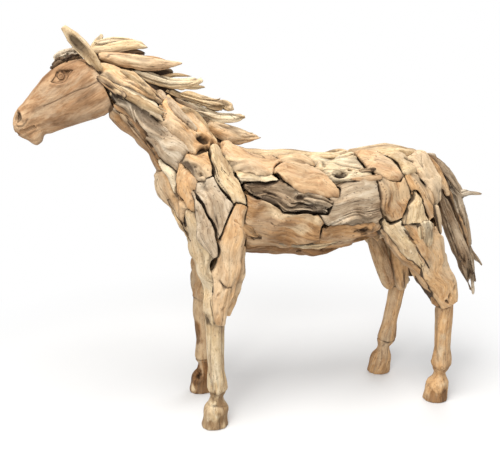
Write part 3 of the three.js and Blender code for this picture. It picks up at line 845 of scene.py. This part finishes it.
for name, (wood, crack, erosion, options) in SIDE_BOARDS.items():
    side = 1 if name.startswith("right") else -1
    board = copy_of_node(name)
    if name == "right_forearm":
        narrow_end(board, at(0, 0, 530).z, at(0, 0, 720).z, at(-550, 0, 0).x, 0.55)
    cut_back(board, side)
    own = tuple(NODES) if name == "right_forearm" else (name,)
    wear(board, out=(0, side, 0), without=own, bend=1.0, carve=GAPS if side < 0 else None,
         crack=crack, erosion=erosion, **options)
    finish_piece(board, wood, name)
print("side boards:", len(SIDE_BOARDS), "triangles so far:", total_triangles)

# %% Boards over the middle
MIDDLE_BOARDS = {
    "back_plank": ("pale", (0, 0, 1), dict(bend=0.1, relief=0.6, tone=-0.15,
                                           without=("back_plank", "back_mid", "croup_plank"))),
    "croup_plank": ("pale", (0, 0, 1), dict(bend=0.2, relief=0.7, tone=-0.12)),
    "throat": ("brown", (-0.76, 0, -0.65), dict(stretch=0.012)),
    "breast": ("honey", (-0.91, 0, -0.41), {}),
    # The low tone of the keel under the belly is painted shade.
    "belly_keel": ("brown", (0, 0, -1), dict(bend=0.4, tone=-0.3)),
    "rump": ("honey", (0.9, 0, 0.42), {}),
}
for name, (wood, out, options) in MIDDLE_BOARDS.items():
    settings = dict(dict(crack=0.5, erosion=0.4, bend=1.0, without=(name,)), **options)
    board = wear(copy_of_node(name), out=out, **settings)
    finish_piece(board, wood, name)


# %% [markdown]
# ## The carved head
# The head is one block of smooth wood, with the eye, the nostril and the lips cut by hand. A sculptor
# would draw each line on the cheek and follow it with a gouge. The same is done here: a line is a row
# of points on the side of the face, and every vertex near it goes in or out by a soft round profile.

# %% Face lines: points (x, z) in millimetres, half width, depth in mm, and how dark its painted shade is
EYE = [(-1147, 1559), (-1138, 1566), (-1130, 1580), (-1124, 1598), (-1113, 1606), (-1100, 1604),
       (-1085, 1598), (-1062, 1604), (-1078, 1590), (-1082, 1578), (-1092, 1565), (-1107, 1557),
       (-1126, 1556), (-1147, 1559)]
BROW = [(-1157, 1566), (-1140, 1592), (-1125, 1614), (-1103, 1617), (-1080, 1612)]
UNDER_EYE = [(-1150, 1550), (-1128, 1546), (-1104, 1547), (-1084, 1556), (-1072, 1574)]
CURL = [(-1301, 1392), (-1292, 1381), (-1274, 1382), (-1259, 1395), (-1252, 1408)]
CURL_INNER = [(-1291, 1392), (-1277, 1394), (-1265, 1404)]
MOUTH = [(-1310, 1348), (-1297, 1345), (-1283, 1349), (-1266, 1360), (-1241, 1374),
         (-1223, 1382), (-1208, 1384)]
UPPER_LIP = [(-1302, 1362), (-1280, 1366), (-1256, 1380), (-1236, 1392), (-1218, 1398)]
LOWER_LIP = [(-1287, 1330), (-1268, 1335), (-1246, 1345), (-1226, 1360)]
CHIN_CREASE = [(-1184, 1340), (-1192, 1360), (-1200, 1378)]
CHEEK_CRACK = [(-958, 1563), (-1006, 1538), (-1054, 1523), (-1095, 1504), (-1134, 1484), (-1184, 1463)]
FACE_LINES = [
    (EYE, 2.6, 5.0, 0.85), (BROW, 6.0, -3.4, 0.0), (UNDER_EYE, 6.5, -2.8, 0.0),
    (CURL, 4.6, 6.5, 0.5), (CURL_INNER, 3.2, 3.0, 0.3), (MOUTH, 6.5, 6.0, 0.25), (UPPER_LIP, 8.0, 4.5, 0.1),
    (LOWER_LIP, 5.0, 4.0, 0.15), (CHIN_CREASE, 9.0, 5.0, 0.1), (CHEEK_CRACK, 2.4, 1.8, 0.75),
]
EYEBALL = (-1108, 1582)
CHIN = (-1232, 1312)
BEHIND_CHIN = (-1184, 1334)
NOSTRIL = (-1296, 1420)
NOSTRIL_HALVES = (23.0, 27.0)


def carve_face(places, normals):
    local = layout_of(places)
    flat = local[:, [0, 2]]
    sideways = ramp(np.abs(normals[:, 1]), 0.15, 0.45) * ramp(np.abs(local[:, 1]), 12, 24)
    depth, dark = cut_along(flat, FACE_LINES)
    r = np.linalg.norm(flat - np.array(EYEBALL), axis=1)
    depth += 2.0 * np.exp(-(r / 46) ** 2) + 2.0 * ramp(r, 24, 18) + 3.0 * ramp(r, 17, 4)
    # Rings round the eyeball, cut in and darkened with painted shade
    for radius, cut, darkness in ((17.5, 3.0, 0.8), (9.5, 1.8, 0.65), (1.5, 1.2, 0.5)):
        ring = np.exp(-((r - radius) / 1.9) ** 2)
        depth += cut * ring
        dark = np.maximum(dark, darkness * ring)
    q = np.linalg.norm((flat - np.array(NOSTRIL)) / np.array(NOSTRIL_HALVES), axis=1)
    inner_wall = ramp(local[:, 0] + local[:, 2], sum(NOSTRIL) - 30, sum(NOSTRIL) + 16)
    hole = 13 * ramp(q, 1.05, 0.55) - 3.5 * np.exp(-((q - 1.22) / 0.2) ** 2)
    nose_side = ramp(np.abs(normals[:, 1]), 0.0, 0.25) * ramp(np.abs(local[:, 1]), 8, 18)
    # The nostril hole is darkened with painted shade, more on its inner wall.
    nose_dark = ramp(q, 1.08, 0.75) * (0.35 + 0.5 * inner_wall)
    chin = np.linalg.norm(flat - np.array(CHIN), axis=1)
    behind_chin = np.linalg.norm(flat - np.array(BEHIND_CHIN), axis=1)
    plump = 8.0 * np.exp(-(chin / 24) ** 2) - 7.0 * np.exp(-(behind_chin / 17) ** 2)
    moved = places - normals * ((depth * sideways + hole * nose_side - plump) * MM)[:, None]
    return moved, np.maximum(dark * sideways, nose_dark * nose_side)


# The first stain brightens the muzzle, which turns away from the lamps: painted light.
head = wear(copy_of_node("head"), without=("head",), cell=0.0020, rounds=40, crack=0.0, erosion=0.0,
            relief=0.35, carve=carve_face, stains=(
                spot(-1262, -45, 1392, 80, 0.8), spot(-1130, -60, 1600, 90, -0.25),
                spot(-1000, -85, 1520, 60, -0.25)))
finish_piece(head, "carved", "head")
print("head triangles:", triangles_of(head))

# %% [markdown]
# ## Sticks
# The mane, the forelock and the tail are sticks, thick at the root and broken at the tip. A curve with
# a round bevel gives a bent, tapering stick at once: each control point has its own radius. It is made
# a mesh, flattened a little, and worn like the boards, with its grain along the curve. Its ends are
# pulled out in splinters.

# %% Making a stick
def bent_stick(name, points, halves, flat=0.75, thin=(0, 1, 0)):
    """points and halves in millimetres. flat is the thickness over the width, along the axis thin.
    The points are spread along thin first, so that the squeeze brings them back to their places."""
    places = [Vector(point) for point in points]
    first = places[0] + (places[0] - places[1]).normalized() * halves[0] * 0.45
    last = places[-1] + (places[-1] - places[-2]).normalized() * halves[-1] * 0.45
    points = [tuple(first), *points, tuple(last)]
    halves = [halves[0] * 0.55, *halves, halves[-1] * 0.55]
    squeeze = 1 - (1 - flat) * np.abs(np.array(thin))
    centre = np.mean(points, axis=0)
    points = centre + (np.array(points) - centre) / squeeze
    deselect()
    bpy.ops.curve.primitive_nurbs_path_add(location=(0, 0, 0))
    stick = bpy.context.object
    stick.name = name
    curve = stick.data
    curve.splines.clear()
    spline = curve.splines.new("NURBS")
    spline.points.add(len(points) - 1)
    for target, point, half in zip(spline.points, points, halves):
        target.co = (*at(*point), 1)
        target.radius = half * MM
    spline.order_u = 3
    spline.use_endpoint_u = True
    spline.resolution_u = 5
    curve.bevel_depth = 1.0
    curve.bevel_resolution = 3
    curve.use_fill_caps = True
    bpy.ops.object.convert(target="MESH")
    merge_corners(stick)
    bpy.ops.transform.resize(value=tuple(squeeze), center_override=at(*centre))
    bpy.ops.object.mode_set(mode="OBJECT")
    return stick


def worn_stick(name, points, halves, flat=0.75, thin=(0, 1, 0), **options):
    stick = bent_stick(name, points, halves, flat, thin)
    settings = dict(cell=0.0034, rounds=2, crack=0.7, erosion=0.75, splinter=0.018, relief=1.9)
    settings.update(options)
    return wear(stick, spine=[tuple(at(*p)) for p in points], **settings)


def bundle(name, wood, sticks, nodes=(), **options):
    """Several sticks as one object. Each stick may have its own wood."""
    made = []
    for index, stick in enumerate(sticks):
        points, halves = stick[:2]
        own = dict(options, **(stick[2] if len(stick) > 2 else {}))
        own_wood = own.pop("wood", wood)
        piece = worn_stick(f"{name}_{index}", points, halves, without=nodes, **own)
        piece.data.materials.clear()
        piece.data.materials.append(MATERIALS[own_wood])
        made.append(piece)
    deselect()
    for piece in made:
        piece.select_set(True)
    bpy.context.view_layer.objects.active = made[0]
    if len(made) > 1:
        bpy.ops.object.join()
    whole = bpy.context.view_layer.objects.active
    whole.name = name
    mark(whole, nodes)


# %% Forelock and mane
# Rough sticks lie deep in the mane and forelock; their low tone and added darkness are painted shade in the
# gaps.
ROUGH = dict(wood="grey", erosion=1.0, relief=2.2, tone=-0.5, splinter=0.02, shade_and_grime=0.38)
FORELOCK_PITS = tuple(hole(x, y, z, 12, 14) for x, y, z in (
    (-1132, -30, 1650), (-1108, -36, 1666), (-1088, -36, 1660), (-1062, -34, 1682), (-1042, -32, 1672)))
bundle("forelock_stick", "grey", [
    ([(-1134, -14, 1632), (-1108, -12, 1656), (-1070, -8, 1670), (-1000, 2, 1686)], [14, 23, 25, 22], dict(
        tone=0.15, relief=1.6, shade_and_grime=0.08, knots=FORELOCK_PITS)),
    ([(-1150, -36, 1610), (-1118, -44, 1639), (-1070, -42, 1661), (-1024, -26, 1673)], [14, 14, 12, 10], dict(
        ROUGH, tone=-0.7, relief=2.8, shade_and_grime=0.6, knots=FORELOCK_PITS)),
], nodes=("forelock",), erosion=0.9)
bundle("mane_poll_sticks", "pale", [
    ([(-985, -6, 1682), (-907, -8, 1688), (-849, -8, 1701), (-800, -8, 1706), (-758, -8, 1694)],
     [20, 25, 26, 23, 13], dict(tone=0.1)),
    ([(-967, 34, 1712), (-899, 34, 1729), (-831, 34, 1727), (-784, 34, 1716)], [13, 15, 13, 6], {}),
    ([(-940, 16, 1676), (-870, 14, 1676), (-808, 10, 1682), (-754, 10, 1672)], [22, 25, 24, 10], ROUGH),
    ([(-955, -12, 1662), (-862, -12, 1645), (-774, -12, 1630), (-695, -12, 1627), (-611, -12, 1631)],
     [18, 30, 31, 21, 5], dict(wood="rosy", erosion=0.2, relief=1.0)),
    ([(-790, 25, 1660), (-723, 25, 1656), (-683, 25, 1647)], [9, 11, 5], dict(wood="honey")),
    ([(-790, 22, 1606), (-687, 20, 1603), (-640, 20, 1598)], [14, 13, 5], ROUGH),
    ([(-940, 20, 1640), (-850, 22, 1612), (-770, 22, 1590)], [24, 26, 18], ROUGH),
], nodes=("mane_poll",))
bundle("mane_upper_sticks", "pale", [
    ([(-815, 0, 1598), (-744, 0, 1570), (-669, 0, 1546), (-587, 0, 1545), (-532, 0, 1566)],
     [16, 26, 31, 28, 18], dict(tone=0.2, splinter=0.006)),
    ([(-625, 0, 1545), (-570, 0, 1534), (-516, 0, 1531)], [22, 18, 10], dict(splinter=0.012)),
    ([(-715, 22, 1574), (-633, 22, 1585), (-573, 22, 1577)], [12, 18, 9], dict(erosion=1.0, relief=2.0)),
    ([(-765, 12, 1552), (-723, 12, 1520), (-690, 12, 1492)], [22, 24, 16], ROUGH),
    ([(-745, 34, 1562), (-680, 34, 1520), (-610, 34, 1476)], [26, 28, 20], ROUGH),
], nodes=("mane_upper",))
bundle("mane_lower_sticks", "pale", [
    ([(-680, 4, 1518), (-605, 4, 1494), (-533, 4, 1472), (-470, 4, 1461), (-398, 4, 1447)],
     [18, 27, 29, 22, 12], dict(erosion=1.0, relief=2.3, splinter=0.016)),
    ([(-560, 4, 1487), (-480, 4, 1477), (-440, 4, 1481)], [13, 12, 6], dict(erosion=1.0, splinter=0.02)),
    ([(-644, 0, 1456), (-546, 0, 1428), (-462, 0, 1401), (-393, 0, 1397), (-339, 0, 1400)],
     [18, 28, 32, 28, 13], dict(erosion=0.9, splinter=0.008)),
    ([(-610, 22, 1456), (-503, 20, 1437), (-452, 20, 1428)], [14, 14, 6], ROUGH),
    ([(-520, 0, 1376), (-440, 0, 1340), (-365, 0, 1314), (-260, 0, 1308)], [24, 42, 34, 6], dict(
        wood="honey", erosion=0.6)),
    ([(-465, 15, 1374), (-362, 15, 1345), (-292, 15, 1324)], [12, 12, 5], {}),
    ([(-640, 14, 1480), (-560, 14, 1440), (-480, 14, 1370)], [22, 24, 16], ROUGH),
], nodes=("mane_lower",))

# %% Tail
bundle("tail_outer_sticks", "grey", [
    ([(552, 0, 1196), (652, 4, 1096), (722, 6, 1012), (757, 6, 893), (797, 6, 738), (846, 6, 600),
      (868, 6, 470)], [30, 38, 38, 34, 30, 25, 12], dict(erosion=1.0, relief=2.4, splinter=0.02)),
    ([(735, 4, 1008), (770, 2, 1013), (800, 2, 1012), (860, 0, 1004)], [34, 22, 14, 8], dict(
        splinter=0.0, tone=0.3, cell=0.0024, relief=0.8)),
    ([(785, 12, 800), (840, 22, 700), (914, 26, 624)], [20, 20, 9], {}),
    ([(624, -38, 1088), (669, -42, 985), (743, -40, 831), (799, -34, 698), (812, -30, 560)],
     [20, 24, 22, 18, 10], dict(wood="brown", erosion=1.0, relief=2.4, shade_and_grime=0.1)),
    ([(614, 22, 1183), (680, 26, 1134), (726, 24, 1062)], [16, 18, 12], dict(tone=-0.3)),
    ([(860, 20, 620), (874, 22, 571), (888, 22, 530)], [10, 10, 6], dict(tone=-0.4)),
], nodes=("tail_outer",))
bundle("tail_inner_sticks", "brown", [
    ([(605, -50, 1040), (671, -58, 884), (746, -56, 734), (784, -54, 651)], [24, 32, 30, 20], dict(
        wood="grey", erosion=1.0, relief=2.4, tone=-0.1, shade_and_grime=0.08)),
    ([(592, -16, 1110), (655, -16, 930), (760, -14, 700), (838, -14, 500)], [26, 32, 28, 10], dict(
        tone=-0.45, wood="grey")),
    # Its low tone and added darkness are painted shade between the sticks of the tail.
    ([(560, -10, 1170), (620, -14, 1085), (655, -14, 1010), (690, -14, 930)], [28, 36, 36, 24], dict(
        tone=-0.5, wood="grey", shade_and_grime=0.5, relief=0.8)),
], nodes=("tail_inner",))
print("after mane and tail, triangles:", total_triangles)

# %% [markdown]
# ## Ears and lower legs
# Each ear is half a split branch with its rotten core scraped out, which leaves a rim round a dark
# hollow. The lower legs are turned roughly round, and the hooves keep more dirt than the cannons.

# %% Ears, from their solids
EAR_BASE = np.array([-952.0, 1604.0])
EAR_TIP = np.array([-1086.0, 1772.0])
EAR_HOLLOW = np.array([-1024.0, 1684.0])
HOLLOW_HALVES = (80.0, 22.0)


def carve_ear(places, normals):
    local = layout_of(places)
    way = (EAR_TIP - EAR_BASE) / np.linalg.norm(EAR_TIP - EAR_BASE)
    side = np.array([way[1], -way[0]])
    away = local[:, [0, 2]] - EAR_HOLLOW
    along = away @ way
    across = away @ side
    q = np.hypot(along / HOLLOW_HALVES[0], across / HOLLOW_HALVES[1])
    facing = ramp(-normals[:, 1], 0.0, 0.4)
    depth = 15 * ramp(q, 1.1, 0.35) - 3 * np.exp(-((q - 1.25) / 0.22) ** 2)
    # The hollow is darkened with painted shade, most towards the tip.
    dark = 0.8 * ramp(q, 1.02, 0.75) * ramp(along, -60, 30)
    return places - normals * (depth * facing * MM)[:, None], dark * facing


for name, extra in (("ear_left", dict(carve=carve_ear)), ("ear_right", {})):
    ear = wear(copy_of_node(name), without=(name,), cell=0.0028, rounds=8, crack=0.6, erosion=0.5, **extra)
    finish_piece(ear, "pale", name)


# %% Lower legs, from their solids
# name: (wood, tone, stains, knots, lines to carve)
# The dark value of each carved line is painted shade in the crease.
LOWER_LEGS = {
    "lower_leg_left_fore": ("pale", -0.06, (
        stain(-523, 55, 70, -0.42), stain(-523, 158, 40, -0.6), stain(-556, 72, 18, 0.7),
        stain(-520, 82, 14, 0.6), stain(-545, 55, 14, -0.8), stain(-530, 40, 18, -0.8),
        stain(-498, 62, 20, -0.8),
        stain(-540, 300, 34, -0.15), stain(-530, 230, 34, -0.35)), (), (
        ([(-600, 100), (-450, 100)], 26.0, -7.0, 0.0), ([(-600, 168), (-450, 168)], 12.0, 3.0, 0.0),
        ([(-512, 96), (-510, 55)], 7.0, 3.0, 0.5),
        ([(-537, 550), (-545, 382), (-541, 227)], 3.5, 4.0, 0.45),
        ([(-490, 520), (-489, 307), (-474, 232)], 3.5, 4.0, 0.5),
        ([(-580, 196), (-545, 186), (-500, 182), (-465, 188)], 6.0, 4.0, 0.4),
        ([(-590, 122), (-524, 130), (-465, 112)], 3.5, 2.5, 0.35))),
    "lower_leg_right_fore": ("brown", 0.45, (
        spot(-548, 130, 80, 90, -1.5), spot(-554, 152, 380, 22, -1.4), spot(-553, 154, 340, 24, -1.4),
        spot(-552, 154, 295, 20, -1.4), spot(-577, 140, 45, 20, 2.0)), (hole(-553, 134, 122, 18, 24),), (
        ([(-600, 100), (-480, 100)], 26.0, -5.0, 0.0), ([(-600, 168), (-480, 168)], 12.0, 4.0, 0.0),
        ([(-590, 202), (-545, 192), (-500, 196)], 5.0, 3.5, 0.6),)),
    "lower_leg_left_hind": ("honey", -0.05, (
        stain(592, 24, 58, -1.4), stain(582, 360, 26, 0.35), stain(585, 440, 26, 0.35),
        stain(588, 290, 26, 0.35), stain(600, 170, 36, -0.3)), (
        knot(591, 205, 11, 2), knot(572, 84, 12, 3)), (
        ([(587, 200), (589, 200)], 15.0, -13.0, 0.0),
        ([(596, 200), (588, 208), (580, 200), (588, 192), (596, 200)], 2.4, 3.0, 0.5),
        ([(520, 100), (670, 100)], 24.0, -4.0, 0.0),
        ([(556, 500), (562, 350), (572, 228)], 3.5, 3.5, 0.45),
        ([(600, 490), (602, 350), (610, 236)], 3.0, 2.5, 0.3),
        ([(545, 190), (600, 182), (650, 192)], 6.0, 3.0, 0.3),
        ([(530, 110), (562, 66), (590, 64), (640, 96)], 3.0, 1.5, 0.4))),
    "lower_leg_right_hind": ("honey", -0.15, (spot(440, 122, 40, 50, -0.3),), (), (
        ([(360, 95), (520, 95)], 26.0, -4.0, 0.0),
        ([(420, 205), (470, 192), (520, 200)], 4.0, 3.5, 0.6),
        ([(380, 100), (437, 108), (490, 96)], 3.0, 2.0, 0.25))),
}
for name, (wood, tone, stains, knots, lines) in LOWER_LEGS.items():
    leg = wear(copy_of_node(name), without=(name,), cell=0.0032, rounds=30, crack=0.3, erosion=0.15,
               relief=0.6, tone=tone, stains=stains, knots=knots, carve=line_carver(*lines))
    finish_piece(leg, wood, name)


# %% Behind the lower legs' tops
# The far knee goes on up behind its board, and the far gaskin is two slabs side by side.
bundle("far_knee", "grey", [
    ([(-505, 170, 760), (-516, 174, 640), (-528, 176, 520)], [30, 33, 34], dict(
        tone=0.15, splinter=0.0, flat=0.9, relief=0.8)),
])
bundle("far_gaskin_slabs", "brown", [
    ([(325, 74, 820), (349, 82, 758), (399, 94, 634), (440, 103, 524)], [30, 42, 46, 34], dict(flat=0.8)),
    ([(436, 76, 800), (457, 84, 752), (494, 96, 627), (514, 104, 508)], [30, 38, 42, 32], dict(
        flat=0.8, wood="honey", tone=-0.1)),
    ([(524, 122, 700), (543, 128, 640), (556, 130, 566)], [16, 24, 17], dict(tone=-0.2)),
], splinter=0.0, relief=0.6, rounds=12, erosion=0.15, crack=0.3)

# %% [markdown]
# ## Strips laid over the boards
# The gaps between the big slabs are closed with thin strips and splinters. Each one lies on the
# surface that is under it: a ray from the side finds the wood at every point of its line.

# %% Strips from the croup to the tail
bundle("croup_strips", "honey", [
    ([(474, -76, 1228), (541, -78, 1186), (597, -74, 1112), (645, -66, 1020)], [13, 21, 20, 10], {}),
    ([(525, -46, 1222), (606, -46, 1168), (685, -42, 1082), (732, -38, 1010)], [14, 22, 20, 9],
     dict(wood="grey")),
], flat=0.7)

# %% Core behind the jaw
# The head's flat back end meets the neck boards here, and a dark block shows in the joint. Its low tone and
# added darkness are painted shade in the joint.
bundle("jaw_core", "brown", [
    ([(-962, 0, 1590), (-930, 0, 1525), (-896, 0, 1462)], [44, 52, 44], dict(tone=-0.5, splinter=0.0)),
    ([(-975, 4, 1672), (-948, 6, 1648), (-915, 4, 1612)], [19, 26, 26], dict(
        tone=-0.5, splinter=0.0, shade_and_grime=0.4)),
])

# %% Laid strips: (name, wood, points (x, z), half widths, above the surface, options)
SMOOTH = dict(erosion=0.3, relief=1.0, splinter=0.004)
LAID = [
    ("neck_strip_a", "pale", [(-871, 1605), (-820, 1582), (-780, 1542), (-737, 1499)], [9, 16, 16, 8], 25,
     SMOOTH),
    ("neck_strip_b", "grey", [(-715, 1520), (-671, 1473), (-629, 1420), (-572, 1366)], [13, 17, 15, 9], 24,
     dict(SMOOTH, tone=0.1)),
    ("neck_strip_c", "pale", [(-625, 1452), (-574, 1429), (-531, 1380), (-493, 1314), (-425, 1232)],
     [10, 17, 16, 13, 7], 30, SMOOTH),
    ("neck_strip_d", "honey", [(-970, 1582), (-911, 1537), (-856, 1503)], [14, 20, 14], 6, {}),
    ("neck_strip_e", "pale", [(-872, 1518), (-786, 1474), (-715, 1428)], [22, 25, 20], 12,
     dict(splinter=0.004)),
    ("neck_splinter", "grey", [(-799, 1525), (-748, 1486), (-710, 1464)], [8, 12, 9], 8, dict(tone=-0.2)),
    ("throat_strip_a", "brown", [(-902, 1449), (-818, 1362), (-732, 1228)], [11, 15, 8], 6, {}),
    ("throat_strip_b", "brown", [(-908, 1473), (-840, 1415), (-765, 1308), (-668, 1168)], [12, 16, 16, 9], 7,
     dict(tone=-0.1)),
    ("breast_edge", "pale", [(-700, 1066), (-660, 975), (-612, 890)], [7, 11, 6], 3, {}),
    ("flank_splinter", "honey", [(-425, 990), (-388, 953), (-346, 918), (-305, 890)], [18, 22, 19, 8], 6, {}),
    ("flank_sliver", "brown", [(-418, 945), (-380, 912), (-340, 888)], [12, 16, 8], 4, dict(tone=-0.2)),
    ("gaskin_tongue", "pale", [(430, 925), (438, 880), (440, 836)], [46, 42, 30], 14, dict(
        splinter=0.0, erosion=0.8, relief=0.7, tone=0.0, knots=(knot(428, 905, 9, 9), knot(445, 862, 8, 8)))),
    ("rosy_wedge", "rosy", [(86, 1138), (156, 1137), (228, 1141)], [12, 20, 20], 5, dict(splinter=0.004)),
    ("rosy_strip", "rosy", [(92, 1158), (154, 1174), (222, 1176)], [8, 11, 8], 4, {}),
    ("belly_strip", "pale", [(-239, 866), (-95, 845), (13, 851), (150, 880)], [9, 17, 17, 8], 6, {}),
    ("belly_strip_low", "brown", [(-136, 812), (1, 804), (165, 826)], [8, 12, 8], 3, {}),
    ("gaskin_strip", "grey", [(332, 915), (394, 836), (471, 716)], [7, 10, 6], 5, dict(tone=-0.3)),
    ("gaskin_rear_strip", "honey", [(489, 1020), (512, 947), (545, 856)], [14, 18, 12], 5, {}),
]
for name, wood, line, halves, above, options in LAID:
    points = [on_left(x, z, above - 0.5 * min(halves)) for x, z in line]
    strip = worn_stick(name, points, halves, flat=0.6, **options)
    finish_piece(strip, wood)
print("strips:", len(LAID), "pieces:", piece_count, "triangles:", total_triangles)
